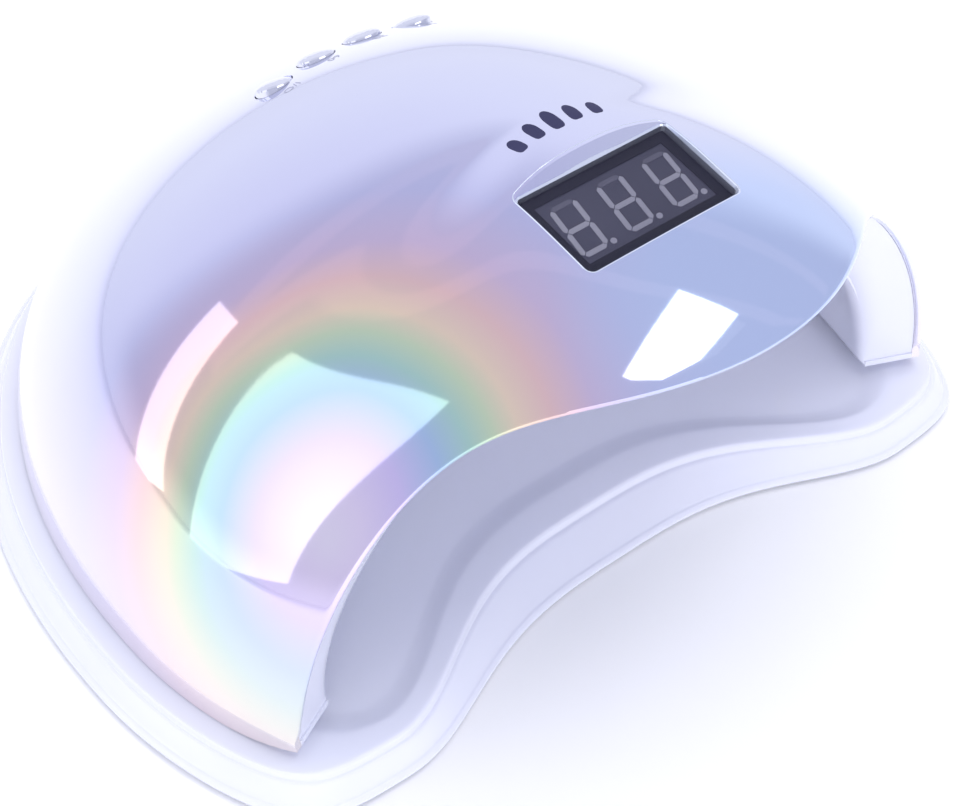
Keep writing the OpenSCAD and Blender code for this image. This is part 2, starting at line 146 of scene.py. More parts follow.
def add_object(name, verts, faces, smooth=True):
    """A mesh object from points in millimetres."""
    mesh = bpy.data.meshes.new(name)
    mesh.from_pydata([tuple(float(c) * MM for c in v) for v in verts], [], faces)
    mesh.validate()
    bm = bmesh.new()
    bm.from_mesh(mesh)
    bmesh.ops.recalc_face_normals(bm, faces=bm.faces)
    bm.to_mesh(mesh)
    bm.free()
    for polygon in mesh.polygons:
        polygon.use_smooth = smooth
    ob = bpy.data.objects.new(name, mesh)
    bpy.context.collection.objects.link(ob)
    return ob


def grid_object(name, grid, wrap_rows=False, wrap_cols=False, cap_ends=False):
    """A quad mesh over a grid of points [row][column]."""
    grid = np.asarray(grid)
    rows, cols = grid.shape[:2]
    faces = []
    for i in range(rows if wrap_rows else rows - 1):
        for j in range(cols if wrap_cols else cols - 1):
            a, b = i * cols + j, i * cols + (j + 1) % cols
            low = (i + 1) % rows * cols
            faces.append((a, b, low + (j + 1) % cols, low + j))
    if cap_ends:
        faces.append(tuple(i * cols for i in range(rows)))
        faces.append(tuple(i * cols + cols - 1 for i in reversed(range(rows))))
    return add_object(name, grid.reshape(-1, 3), faces)


def crease(ob, degrees):
    ob.data.set_sharp_from_angle(angle=math.radians(degrees))


def apply_modifiers(ob):
    graph = bpy.context.evaluated_depsgraph_get()
    mesh = bpy.data.meshes.new_from_object(ob.evaluated_get(graph))
    ob.modifiers.clear()
    ob.data = mesh


def cut(ob, cutter):
    mod = ob.modifiers.new("cut", "BOOLEAN")
    mod.operation, mod.object, mod.solver = "DIFFERENCE", cutter, "EXACT"
    apply_modifiers(ob)
    bpy.data.objects.remove(cutter)
    for polygon in ob.data.polygons:
        polygon.use_smooth = True


def join(name, parts):
    """Joins mesh objects into one."""
    bm = bmesh.new()
    for part in parts:
        part.data.transform(part.matrix_world)
        bm.from_mesh(part.data)
    mesh = bpy.data.meshes.new(name)
    bm.to_mesh(mesh)
    bm.free()
    for part in parts:
        bpy.data.objects.remove(part)
    ob = bpy.data.objects.new(name, mesh)
    bpy.context.collection.objects.link(ob)
    return ob


def turned(name, profile, place, steps=48):
    """A surface of revolution about its own Z, with no end caps; profile is (radius, height) in mm."""
    angles = np.linspace(0, 2 * math.pi, steps, endpoint=False)
    grid = [[place @ Vector((r * math.cos(a), r * math.sin(a), z)) for a in angles]
            for r, z in profile]
    return grid_object(name, grid, wrap_cols=True)


def aim(point, normal):
    """Matrix in millimetres that turns +Z onto normal at point."""
    turn = Vector(normal).to_track_quat("Z", "Y").to_matrix().to_4x4()
    return Matrix.Translation(Vector(point)) @ turn


# ---- materials -----------------------------------------------------------

def new_material(name, **values):
    """A Principled material with constant socket values; returns it and its nodes."""
    mat = bpy.data.materials.new(name)
    mat.use_nodes = True
    nodes = mat.node_tree.nodes
    shader = nodes["Principled BSDF"]
    for key, value in values.items():
        shader.inputs[key.replace("_", " ")].default_value = value
    return mat, nodes, mat.node_tree.links, shader


def object_place(nodes):
    return nodes.new("ShaderNodeTexCoord").outputs["Object"]


def noise(nodes, links, scale, detail=3.0):
    tex = nodes.new("ShaderNodeTexNoise")
    tex.inputs["Scale"].default_value = scale
    tex.inputs["Detail"].default_value = detail
    links.new(object_place(nodes), tex.inputs["Vector"])
    return tex.outputs["Fac"]


def ramp(nodes, links, fac, stops, smooth=False):
    node = nodes.new("ShaderNodeValToRGB")
    elements = node.color_ramp.elements
    node.color_ramp.interpolation = "B_SPLINE" if smooth else "LINEAR"
    while len(elements) < len(stops):
        elements.new(0.5)
    for element, (place, colour) in zip(elements, stops):
        element.position = place
        element.color = (*colour, 1)
    links.new(fac, node.inputs["Fac"])
    return node.outputs["Color"]


def bump(nodes, links, shader, height, distance, strength=0.3):
    node = nodes.new("ShaderNodeBump")
    node.inputs["Distance"].default_value = distance
    node.inputs["Strength"].default_value = strength
    links.new(height, node.inputs["Height"])
    links.new(node.outputs["Normal"], shader.inputs["Normal"])


def mottled(name, low, high, scale, grain=None, **values):
    """Plain moulded or plated stuff: a slight drift of tone and an optional fine grain."""
    mat, nodes, links, shader = new_material(name, **values)
    tone = ramp(nodes, links, noise(nodes, links, scale), ((0.3, low), (0.7, high)))
    links.new(tone, shader.inputs["Base Color"])
    if grain:
        bump(nodes, links, shader, noise(nodes, links, grain, 2.0), 0.00002, 0.25)
    return mat


def distance_to(nodes, links, centre, stretch=(1, 1, 1)):
    """Distance in metres from a fixed place on the object."""
    mapping = nodes.new("ShaderNodeMapping")
    mapping.vector_type = "POINT"
    mapping.inputs["Location"].default_value = [-c * MM * s for c, s in zip(centre, stretch)]
    mapping.inputs["Scale"].default_value = stretch
    links.new(object_place(nodes), mapping.inputs["Vector"])
    length = nodes.new("ShaderNodeVectorMath")
    length.operation = "LENGTH"
    links.new(mapping.outputs["Vector"], length.inputs[0])
    return length.outputs["Value"]


def mix_colour(nodes, links, fac, first, second):
    node = nodes.new("ShaderNodeMix")
    node.data_type = "RGBA"
    links.new(fac, node.inputs["Factor"])
    links.new(first, node.inputs["A"])
    links.new(second, node.inputs["B"])
    return node.outputs["Result"]


def srgb(r, g, b):
    """A colour as it shows on screen, turned into linear light."""
    return tuple(((c / 255 + 0.055) / 1.055) ** 2.4 for c in (r, g, b))


def pearl_material():
    """Pearl mirror coat: pastel rings that spread from the left end of the arch, a painted iridescent
    reflection and highlight over the coat's pearl colour, with a painted blue reflection near the
    window and a painted pale reflection of the floor low down.
    """
    mat, nodes, links, shader = new_material(
        "pearl_cover", Metallic=0.85, Coat_Weight=0.5, Coat_Roughness=0.02, Coat_IOR=1.5)
    wobble = nodes.new("ShaderNodeMath")
    wobble.operation = "MULTIPLY_ADD"
    wobble.inputs[1].default_value = 0.008
    links.new(noise(nodes, links, 16, 1.0), wobble.inputs[0])
    links.new(distance_to(nodes, links, RING_MID, (1, 1, 0.8)), wobble.inputs[2])
    scaled = nodes.new("ShaderNodeMath")
    scaled.operation = "DIVIDE"
    scaled.inputs[1].default_value = RING_REACH * MM
    links.new(wobble.outputs[0], scaled.inputs[0])
    # painted iridescent reflection: a pale highlight and rainbow rings where the coat mirrors the left
    # softbox
    rings = ramp(nodes, links, scaled.outputs[0],
                 [(r / RING_REACH, srgb(*colour)) for r, colour in PEARL_SHEEN_RINGS])
    # painted reflection: the cover turns blue near the window, where it mirrors the dim ceiling
    sky_reflection_mask = ramp(nodes, links, distance_to(nodes, links, SKY_REFLECTION_MID, (1, 1.2, 1)),
               ((0.026, (1, 1, 1)), (0.050, (0, 0, 0))))
    sky_reflection_blue = nodes.new("ShaderNodeRGB")
    sky_reflection_blue.outputs[0].default_value = (*srgb(208, 222, 255), 1)
    # painted reflection of the bright floor: the cover turns pale towards its bottom, from 55 mm down
    # to 12 mm
    pale = nodes.new("ShaderNodeRGB")
    pale.outputs[0].default_value = (*srgb(246, 236, 238), 1)
    height = nodes.new("ShaderNodeSeparateXYZ")
    links.new(object_place(nodes), height.inputs[0])
    foot = nodes.new("ShaderNodeMapRange")
    reach = (("From Min", 0.012), ("From Max", 0.055), ("To Min", 0.78), ("To Max", 0.0))
    for key, value in reach:
        foot.inputs[key].default_value = value
    links.new(height.outputs["Z"], foot.inputs["Value"])
    pearl_and_reflection_tint = mix_colour(nodes, links, sky_reflection_mask, rings, sky_reflection_blue.outputs[0])
    links.new(mix_colour(nodes, links, foot.outputs["Result"], pearl_and_reflection_tint, pale.outputs[0]),
              shader.inputs["Base Color"])
    gloss = nodes.new("ShaderNodeMapRange")
    gloss.inputs["To Min"].default_value, gloss.inputs["To Max"].default_value = 0.035, 0.06
    links.new(noise(nodes, links, 40), gloss.inputs["Value"])
    links.new(gloss.outputs["Result"], shader.inputs["Roughness"])
    bump(nodes, links, shader, noise(nodes, links, 900, 1.0), 0.000004, 0.2)
    # the saddle is levelled in shading, so that long reflections run straight across it
    grain_node = shader.inputs["Normal"].links[0].from_node
    far = distance_to(nodes, links, (0, SADDLE_Y, 0), (1 / MM / SADDLE_WIDE, 1 / MM / SADDLE_DEEP, 0))
    bell = far
    steps = (("POWER", 2.0), ("MULTIPLY", -1.0), ("EXPONENT", None), ("MULTIPLY", SADDLE * MM))
    for kind, value in steps:
        step = nodes.new("ShaderNodeMath")
        step.operation = kind
        links.new(bell, step.inputs[0])
        if value is not None:
            step.inputs[1].default_value = value
        bell = step.outputs[0]
    level = nodes.new("ShaderNodeBump")
    level.inputs["Distance"].default_value = 1.0
    level.inputs["Strength"].default_value = 0.8
    links.new(bell, level.inputs["Height"])
    links.new(level.outputs["Normal"], grain_node.inputs["Normal"])
    return mat


def white_material():
    return mottled("white_plastic", (0.79, 0.81, 0.93), (0.83, 0.84, 0.95), 9, grain=900,
                   Roughness=0.2, Coat_Weight=0.5, Coat_Roughness=0.05)


def window_material():
    mat, nodes, links, shader = new_material(
        "window_black", Roughness=0.05, IOR=1.5, Alpha=0.28, Coat_Weight=0.5, Coat_Roughness=0.03)
    tone = ramp(nodes, links, noise(nodes, links, 20),
                ((0.3, (0.016, 0.016, 0.04)), (0.7, (0.02, 0.02, 0.05))))
    links.new(tone, shader.inputs["Base Color"])
    return mat


MATERIALS = {
    "pearl_cover": pearl_material(),
    "white_plastic": white_material(),
    "pearl_bezel": mottled("pearl_bezel", (0.72, 0.80, 0.95), (0.84, 0.86, 0.97), 30,
                           Metallic=0.6, Roughness=0.08, Coat_Weight=1.0, Coat_Roughness=0.02),
    "key_chrome": mottled("key_chrome", (0.70, 0.72, 0.86), (0.84, 0.85, 0.95), 60,
                          Metallic=0.85, Roughness=0.08, Coat_Weight=0.5),
    "window_black": window_material(),
    "mask_black": mottled("mask_black", (0.004, 0.004, 0.014), (0.007, 0.007, 0.02), 80, Roughness=0.5),
    "module_grey": mottled("module_grey", (0.13, 0.13, 0.20), (0.15, 0.15, 0.23), 60, grain=2500,
                           Roughness=0.5),
    "segment_grey": mottled("segment_grey", (0.70, 0.70, 0.86), (0.77, 0.77, 0.92), 60, Roughness=0.4),
    "segment_dim": mottled("segment_dim", (0.24, 0.24, 0.34), (0.28, 0.28, 0.39), 60, Roughness=0.4),
    "foot_rubber": mottled("foot_rubber", (0.02, 0.02, 0.022), (0.04, 0.04, 0.045), 150, grain=1800,
                           Roughness=0.8),
    "magnet_steel": mottled("magnet_steel", (0.5, 0.5, 0.53), (0.65, 0.65, 0.68), 200, grain=2500,
                            Metallic=1.0, Roughness=0.3),
    "screw_steel": mottled("screw_steel", (0.4, 0.4, 0.43), (0.55, 0.55, 0.58), 400, grain=3000,
                           Metallic=1.0, Roughness=0.35),
    "board_green": mottled("board_green", (0.01, 0.12, 0.05), (0.03, 0.2, 0.09), 500, Roughness=0.45),
    "part_black": mottled("part_black", (0.012, 0.012, 0.014), (0.03, 0.03, 0.034), 300, grain=2500,
                          Roughness=0.5),
    "pad_white": mottled("pad_white", (0.78, 0.78, 0.75), (0.88, 0.88, 0.85), 300, Roughness=0.5),
    "lens_amber": mottled("lens_amber", (0.86, 0.80, 0.45), (0.95, 0.92, 0.70), 500,
                          Roughness=0.08, Coat_Weight=1.0),
    "lead_red": mottled("lead_red", (0.45, 0.03, 0.03), (0.6, 0.06, 0.05), 200, Roughness=0.5),
    "lead_black": mottled("lead_black", (0.02, 0.02, 0.02), (0.04, 0.04, 0.045), 200, Roughness=0.5),
    "lead_grey": mottled("lead_grey", (0.4, 0.4, 0.43), (0.5, 0.5, 0.53), 200, Roughness=0.5),
    "contact_brass": mottled("contact_brass", (0.7, 0.5, 0.2), (0.85, 0.66, 0.3), 400,
                             Metallic=1.0, Roughness=0.25),
    "print_ink": mottled("print_ink", (0.020, 0.020, 0.075), (0.030, 0.030, 0.095), 60, Roughness=0.6),
    "label_ink": mottled("label_ink", (0.33, 0.34, 0.47), (0.42, 0.43, 0.56), 300, Roughness=0.4),
}


def finish_piece(ob, body, slot, material=None, replaces=()):
    ob.data.materials.clear()
    ob.data.materials.append(MATERIALS[material or slot])
    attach(ob, body)
    if replaces:
        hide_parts(*replaces)
    return ob


# ---- cover ---------------------------------------------------------------

def cover_piece():
    us = spread(221)
    reach = np.linalg.norm(foot_edge(us) - arch_edge(us), axis=-1)
    rows = [dome(sheet(us, v), 0) for v in np.linspace(0, 1, 121) ** 0.95]
    rows += [dome(foot_edge(us), t) for t in (0.7, 1.3)]
    rows += [dome(sheet(us, v), WALL) for v in np.linspace(1, 0, 61)]
    for turn in np.radians(np.linspace(150, 30, 5)):
        over = -WALL / 2 * math.sin(turn) / DISC_MM / reach
        rows.append(dome(sheet(us, over), WALL / 2 * (1 - math.cos(turn))))
    return grid_object("pearl_shell", rows, wrap_rows=True, cap_ends=True)


def surface_tree():
    us = spread(201)
    ob = grid_object("probe", [dome(sheet(us, v), 0) for v in np.linspace(0, 1, 121)])
    tree = BVHTree.FromPolygons([v.co / MM for v in ob.data.vertices],
                                [p.vertices for p in ob.data.polygons])
    bpy.data.objects.remove(ob)
    return tree


SURFACE = surface_tree()
WINDOW = Matrix.Translation(Vector(WINDOW_MID)) @ Matrix.Rotation(math.radians(WINDOW_TILT), 4, "X")
KEY_AXIS = outward((0, 0.362))


def hit(start, direction):
    """Where a line meets the cover's outer surface, in millimetres."""
    place = SURFACE.ray_cast(Vector(start), Vector(direction).normalized())[0]
    return place if place else Vector(start)


def window_path(grow=0.0, radius=1.3, steps=8, side=24):
    """Points and outward directions round the window's rounded rectangle."""
    w, h = WINDOW_W / 2 - radius, WINDOW_H / 2 - radius
    corners = ((w, h, 0), (-w, h, 90), (-w, -h, 180), (w, -h, 270))
    path = []
    for k, (x, y, start) in enumerate(corners):
        for i in range(steps + 1):
            a = math.radians(start + 90 * i / steps)
            n = Vector((math.cos(a), math.sin(a), 0))
            path.append((Vector((x, y, 0)) + n * (radius + grow), n))
        nx, ny, _ = corners[(k + 1) % 4]
        a = math.radians(start + 90)
        n = Vector((math.cos(a), math.sin(a), 0))
        for i in range(1, side):
            p = Vector((x, y, 0)).lerp(Vector((nx, ny, 0)), i / side)
            path.append((p + n * (radius + grow), n))
    return path


def flare(n):
    """How far the recess leans out for each millimetre up: most at the top."""
    return 0.22 + 1.0 * max(0, n.y) ** 2 + 0.25 * max(0, -n.y) ** 2


def window_cutter():
    rows = []
    for z in (-8, 0, 9):
        rows.append([WINDOW @ (p + n * flare(n) * max(0, z) + Vector((0, 0, z)))
                     for p, n in window_path(grow=0.5)])
    ob = grid_object("window_cutter", rows, wrap_cols=True)
    cap_open_ends(ob)
    return ob


def cap_open_ends(ob):
    bm = bmesh.new()
    bm.from_mesh(ob.data)
    bmesh.ops.holes_fill(bm, edges=[e for e in bm.edges if e.is_boundary], sides=0)
    bmesh.ops.recalc_face_normals(bm, faces=bm.faces)
    bm.to_mesh(ob.data)
    bm.free()


def rod(name, start, direction, radius, length):
    ob = turned(name, ((radius, 0), (radius, length)), aim(start, direction), 64)
    cap_open_ends(ob)
    return ob


def make_cover():
    cover = cover_piece()
    cutters = [window_cutter()]
    for m in KEY_DISCS:
        start = Vector(dome(m)) - KEY_AXIS * 6
        cutters.append(rod("key_cutter", start, KEY_AXIS, KEY_R + KEY_GAP, 12))
    cutters.append(rod("jack_cutter", (0, JACK_Y - 8, JACK_Z), (0, 1, 0), JACK_R + 0.1, 16))
    cut(cover, join("cutters", cutters))
    crease(cover, 38)
    finish_piece(cover, "head", "pearl_cover", replaces=("outer_cover",))


# ---- window recess and display -------------------------------------------

def make_bezel():
    rows = []
    ring = window_path()
    tops = []
    for p, n in ring:
        start = WINDOW @ (p + Vector((0, 0, -1)))
        way = WINDOW.to_3x3() @ Vector((n.x * flare(n), n.y * flare(n), 1))
        top = hit(start, way)
        tops.append((top, way.normalized(), (WINDOW.to_3x3() @ n).normalized()))
    rows.append([WINDOW @ (p + Vector((0, 0, -2.2))) for p, n in ring])
    rows.append([WINDOW @ (p + Vector((0, 0, -0.4))) for p, n in ring])
    for share in (0.25, 0.5, 0.75):
        rows.append([(WINDOW @ (p + Vector((0, 0, -0.4)))).lerp(top - way * 0.3, share)
                     for (p, n), (top, way, _) in zip(ring, tops)])
    bead = ((0.0, -0.25), (0.04, -0.08), (0.13, 0.02), (0.26, 0.03), (0.36, -0.06), (0.4, -0.3))
    for out, up in bead:
        rows.append([top + side * out + way * up for top, way, side in tops])
    rows.append([top + side * 0.4 - way * 2 for top, way, side in tops])
    bezel = grid_object("window_bezel", rows, wrap_cols=True)
    cap = bezel.modifiers.new("wall", "SOLIDIFY")
    cap.thickness, cap.offset = 0.02 * MM, 0
    apply_modifiers(bezel)
    crease(bezel, 45)
    finish_piece(bezel, "head", "pearl_bezel", replaces=("display_bezel",))


def slab(name, outline_points, low, high, place):
    """A flat prism over a closed outline."""
    n = len(outline_points)
    verts = [place @ Vector((x, y, z)) for z in (low, high) for x, y in outline_points]
    faces = [tuple(reversed(range(n))), tuple(range(n, 2 * n))]
    faces += [(i, (i + 1) % n, n + (i + 1) % n, n + i) for i in range(n)]
    return add_object(name, verts, faces, smooth=False)


def make_mask():
    """Black printed border under the window."""
    w, h = 35.2 / 2, 17.4 / 2
    inner = [(w, h), (-w, h), (-w, -h), (w, -h)]
    outer = [(20.2, 11.2), (-20.2, 11.2), (-20.2, -11.2), (20.2, -11.2)]
    verts = [WINDOW @ Vector((x, y, z)) for z in (-1.95, -1.78) for x, y in inner + outer]
    faces = []
    for i in range(4):
        j = (i + 1) % 4
        faces += [(8 + i, 8 + j, 12 + j, 12 + i), (i, 4 + i, 4 + j, j),
                  (i, j, 8 + j, 8 + i), (4 + i, 12 + i, 12 + j, 4 + j)]
    finish_piece(add_object("window_mask", verts, faces, False), "head", "window_black", "mask_black")


def segment(length, thick, place):
    """One bar of a digit, pointed at both ends."""
    a, t = length / 2, thick / 2
    points = [(-a, 0), (-a + t, -t), (a - t, -t), (a, 0), (a - t, t), (-a + t, t)]
    return slab("bar", points, -2.08, -1.98, place)


def make_digits():
    wide, high, thick, gap = 6.0, 6.5, 1.25, 0.25
    quarter = Matrix.Rotation(math.pi / 2, 4, "Z")
    lean = Matrix.Identity(4)
    lean[0][1] = 0.15
    lit, dim = [], []
    for k in (-1, 0, 1):
        middle = WINDOW @ Matrix.Translation((k * 12.6 - 0.3, 0, 0)) @ lean
        for y in (-high, 0, high):
            bar = segment(wide - gap, thick, middle @ Matrix.Translation((0, y, 0)))
            (dim if y > 0 else lit).append(bar)
        for x in (-1, 1):
            for y in (-1, 1):
                upright = Matrix.Translation((x * wide / 2, y * high / 2, 0)) @ quarter
                lit.append(segment(high - gap, thick, middle @ upright))
        dot = [(0.75 * math.cos(a), 0.75 * math.sin(a))
               for a in np.linspace(0, 2 * math.pi, 24, endpoint=False)]
        beside = Matrix.Translation((wide / 2 + 1.7, -high, 0))
        lit.append(slab("dot", dot, -2.08, -1.98, middle @ beside))
    finish_piece(join("digit_bars", lit), "head", "segment_grey", replaces=("display_segments",))
    finish_piece(join("digit_tops", dim), "head", "segment_grey", "segment_dim")


# ---- reflector -----------------------------------------------------------

def fillet(a, corner, b, radius, steps=6):
    """Points that round a corner between two directions, for arrays of columns."""
    def towards(p):
        d = p - corner
        length = np.linalg.norm(d, axis=-1, keepdims=True)
        return corner + d / length * np.minimum(radius, length * 0.45)
    p, q = towards(a), towards(b)
    return [(1 - t) ** 2 * p + 2 * t * (1 - t) * corner + t * t * q for t in np.linspace(0, 1, steps)]


def ease(t):
    t = np.clip(t, 0, 1)
    return t * t * (3 - 2 * t)


def soften(rows, radius, count=150):
    """Rounds every column of a sheet along its length; the first and last rows stay."""
    grid = np.array(rows)
    out = np.empty((count,) + grid.shape[1:])
    for j in range(grid.shape[1]):
        line = grid[:, j]
        along = np.concatenate([[0], np.cumsum(np.linalg.norm(np.diff(line, axis=0), axis=1) + 1e-9)])
        step = along[-1] / (count - 1)
        even = np.stack([np.interp(np.linspace(0, along[-1], count), along, line[:, k])
                         for k in range(3)], -1)
        reach = min(count - 1, int(math.ceil(3 * radius / step)))
        padded = np.concatenate([2 * even[0] - even[reach:0:-1], even,
                                 2 * even[-1] - even[-2:-reach - 2:-1]])
        weight = np.exp(-0.5 * (np.arange(-reach, reach + 1) * step / radius) ** 2)
        weight /= weight.sum()
        for k in range(3):
            out[:, j, k] = np.convolve(padded[:, k], weight, "valid")
    return list(out)


def make_reflector():
    us = spread(201)
    reach = np.linalg.norm(foot_edge(us) - arch_edge(us), axis=-1)
    slide = np.minimum(0.45, 0.016 / reach)
    legs = ease((np.abs(us) - 0.3) / 0.42)
    base = SKIN + LIP

    def wall(t, v):
        depth = legs + (1 - legs) * ease(v / TAPER)
        return dome(sheet(us, slide * t * (1 - v) + v), base + (SIDE_SPACE - base) * depth - LINER * t,
                    base + (ROOF_SPACE - base) * depth - LINER * t)

    def lifted(row, t):
        return row + np.array([0, 0, LINER * t])

    def face(t):
        brim = dome(sheet(us, slide * t), SKIN, SKIN)
        walls = [wall(t, v) for v in np.linspace(0, 1, 61) ** 0.9]
        rim = fillet(brim, walls[0], walls[10], 7.0, 14) if t == 0 else [walls[0]]
        rest = walls[6:] if t == 0 else walls[1:]
        foot = [lifted(wall(t, 1), t), lifted(dome(foot_edge(us), SKIN, SKIN), t)]
        return [brim] + rim + rest[:-1] + foot

    rows = soften(face(0), RIM_ROUND) + face(1)[::-1]
    ob = grid_object("inner_shell", rows, wrap_rows=True, cap_ends=True)
    crease(ob, 50)
    finish_piece(ob, "head", "white_plastic", replaces=("inner_reflector",))


LED_ROWS = ((12, 80, 280, 0.17), (10, 78, 282, 0.38), (8, 70, 290, 0.62))


def make_led_cups():
    """Bright conical cup round each diode."""
    cups = []
    for count, first, last, s in LED_ROWS:
        for angle in np.radians(np.linspace(first, last, count)):
            m = (1 - s) * np.array([math.sin(angle), -math.cos(angle)])
            place = aim(dome(m, SIDE_SPACE, ROOF_SPACE), -outward(m, SIDE_SPACE, ROOF_SPACE))
            profile = ((5.6, -0.5), (5.5, 0.35), (5.2, 0.62), (4.8, 0.6), (4.3, 0.3),
                       (2.7, -0.1), (2.6, -0.5))
            cups.append(turned("cup", profile, place, 40))
    cups = join("led_cups", cups)
    crease(cups, 50)
    for polygon in cups.data.polygons:
        polygon.use_smooth = True
    finish_piece(cups, "head", "key_chrome")


# ---- base tray -----------------------------------------------------------

def front_line(x, mid, lobe):
    return mid + (lobe - mid) * (1 - np.cos(math.pi * np.minimum(1, np.abs(x) / 77) ** 1.55)) / 2


def tray_ring(inset, mid, lobe, z, steps=360):
    phi = np.linspace(0, 2 * math.pi, steps, endpoint=False)
    x, y = outline(phi, inset - FLANGE)
    reach = front_line(x, mid, lobe)
    near = -(np.maximum(-y, 0.01) ** -12 + reach ** -12) ** (-1 / 12)
    return np.stack([x, np.where(y < 0, near, y), np.full_like(x, z)], -1)


def curve_through(points, steps):
    """Catmull-Rom points through a list of rows of numbers."""
    points = np.array(points, float)
    padded = np.vstack([points[:1], points, points[-1:]])
    out = []
    for i in range(len(points) - 1):
        a, b, c, d = padded[i:i + 4]
        for t in np.linspace(0, 1, steps, endpoint=False):
            out.append(0.5 * (2 * b + (c - a) * t + (2 * a - 5 * b + 4 * c - d) * t * t
                              + (3 * b - a - 3 * c + d) * t ** 3))
    out.append(points[-1])
    return out


def make_tray():
    m, l, z = FRONT_MID, FRONT_LOBE, CREST_Z
    section = (
        (2.6, m - 2.6, l - 2.6, 1.0), (1.0, m - 1.0, l - 1.0, 1.0), (0.3, m - 0.3, l - 0.3, 1.25),
        (0, m, l, 1.8), (0.3, m - 0.3, l - 0.3, 2.4), (1.0, m - 1.1, l - 1.0, 2.85),
        (1.6, m - 2.2, l - 1.7, 3.15), (2.8, m - 6.2, l - 2.9, 5.2), (4.0, m - 9.8, l - 3.9, 6.9),
        (4.5, m - 10.9, l - 4.4, 7.25), (4.8, m - 11.4, l - 4.8, 7.3), (5.0, m - 11.7, l - 5.0, 7.5),
        (5.2, m - 12.1, l - 5.3, 8.3), (5.5, m - 12.5, l - 5.6, 8.75), (6.2, m - 13.4, l - 6.4, z),
        (12, m - 17, l - 8.6, z), (16.4, m - 20, l - 9.9, z - 0.02),
        (18.2, m - 21.6, l - 10.8, z - 0.2), (20.2, m - 23.8, l - 12.4, z - 0.75),
        (22.6, m - 26.4, l - 14.8, z - 1.35), (26, m - 29, l - 18, z - 1.6),
        (40, m - 38, l - 30, z - 1.8),
    )
    rows = [tray_ring(*ring) for ring in curve_through(section, 4)]
    middle = np.array([0, 0, z - 1.8])
    rows += [rows[-1] + (middle - rows[-1]) * t for t in (0.3, 0.6, 0.9, 0.995)]
    under = [tray_ring(2.6, m - 2.6, l - 2.6, 1), tray_ring(7.4, m - 15, l - 8, 6.6),
             tray_ring(20.6, m - 24, l - 13, 6.6), tray_ring(22.6, m - 27, l - 15, 5.2),
             tray_ring(40, m - 38, l - 30, 5.2)]
    middle = np.array([0, 0, 5.2])
    under += [under[-1] + (middle - under[-1]) * t for t in (0.5, 0.995)]
    grid = under[:0:-1] + rows
    ob = grid_object("tray_shell", grid, wrap_cols=True)
    cap_open_ends(ob)
    posts = []
    for side in (-1, 1):
        for x, y in ((76, -68), (98, -4), (52, 74)):
            posts.append(rod("boss", (side * x, y, 2), (0, 0, 1), 6.5, 3.4))
    ob = join("tray_shell", [ob] + posts)
    for polygon in ob.data.polygons:
        polygon.use_smooth = True
    crease(ob, 55)
    finish_piece(ob, "base", "white_plastic", replaces=("base_tray",))


# ---- printing on the cover -----------------------------------------------

def lay_on_cover(ob, place, direction, lift=0.03):
    """Drops a flat mesh, drawn in mm, onto the cover along a direction."""
    for v in ob.data.vertices:
        start = place @ v.co - Vector(direction) * -20
        down = -Vector(direction)
        v.co = (hit(start, down) + Vector(direction) * lift) * MM
    ob.data.update()
    return ob


def oval(wide, high, centre, turn):
    """A solid fingernail shape: square at one end, round at the other."""
    steps, rings = 40, 5
    points, faces = [Vector((0, 0, 0))], []
    for ring in range(1, rings + 1):
        for a in np.linspace(0, 2 * math.pi, steps, endpoint=False):
            c, s = math.cos(a), math.sin(a)
            power = 0.55 if s < 0 else 0.95
            x = math.copysign(abs(c) ** power, c) * wide / 2
            y = math.copysign(abs(s) ** power, s) * high / 2
            points.append(Vector((x, y, 0)) * ring / rings)
    for i in range(steps):
        faces.append((0, 1 + i, 1 + (i + 1) % steps))
        for ring in range(rings - 1):
            a, b = 1 + ring * steps + i, 1 + ring * steps + (i + 1) % steps
            faces.append((a, a + steps, b + steps, b))
    place = Matrix.Translation(centre) @ Matrix.Rotation(math.radians(turn), 4, "Z")
    mesh = bpy.data.meshes.new("oval")
    mesh.from_pydata([place @ p for p in points], [], faces)
    ob = bpy.data.objects.new("oval", mesh)
    bpy.context.collection.objects.link(ob)
    return ob


def make_emblem():
    """Five plain fingernail shapes in a shallow fan, in place of a name."""
    shapes = []
    for i in range(5):
        t = i - 2
        centre = (t * 5.3, -0.35 * t * t, 0)
        shapes.append(oval(3.3 - 0.25 * abs(t), 6.6 - 0.9 * abs(t), centre, -5 * t))
    ob = join("emblem", shapes)
    lay_on_cover(ob, Matrix.Translation((0, -42, 112)), (0, 0, 1))
    finish_piece(ob, "head", "window_black", "print_ink")


def text_mesh(words, size):
    curve = bpy.data.curves.new("label", "FONT")
    curve.body, curve.size, curve.align_x, curve.align_y = words, size, "CENTER", "CENTER"
    ob = bpy.data.objects.new("label", curve)
    bpy.context.collection.objects.link(ob)
    bpy.context.view_layer.update()
    mesh = bpy.data.meshes.new_from_object(ob)
    bpy.data.objects.remove(ob)
    ob = bpy.data.objects.new("label", mesh)
    bpy.context.collection.objects.link(ob)
    return ob


def make_key_labels():
    labels = []
    for m, words in zip(KEY_DISCS, ("I/O", "60", "30", "10")):
        key = Vector(dome(m))
        side = Vector((1, 0, 0))
        up = KEY_AXIS.cross(side)
        basis = Matrix((-side, -up, KEY_AXIS)).transposed().to_4x4()
        place = Matrix.Translation(key - up * 8.2) @ basis
        labels.append(lay_on_cover(text_mesh(words, 3.4), place, KEY_AXIS))
    ob = join("key_labels", labels)
    finish_piece(ob, "head", "window_black", "label_ink")


# ---- floor, light and camera ---------------------------------------------

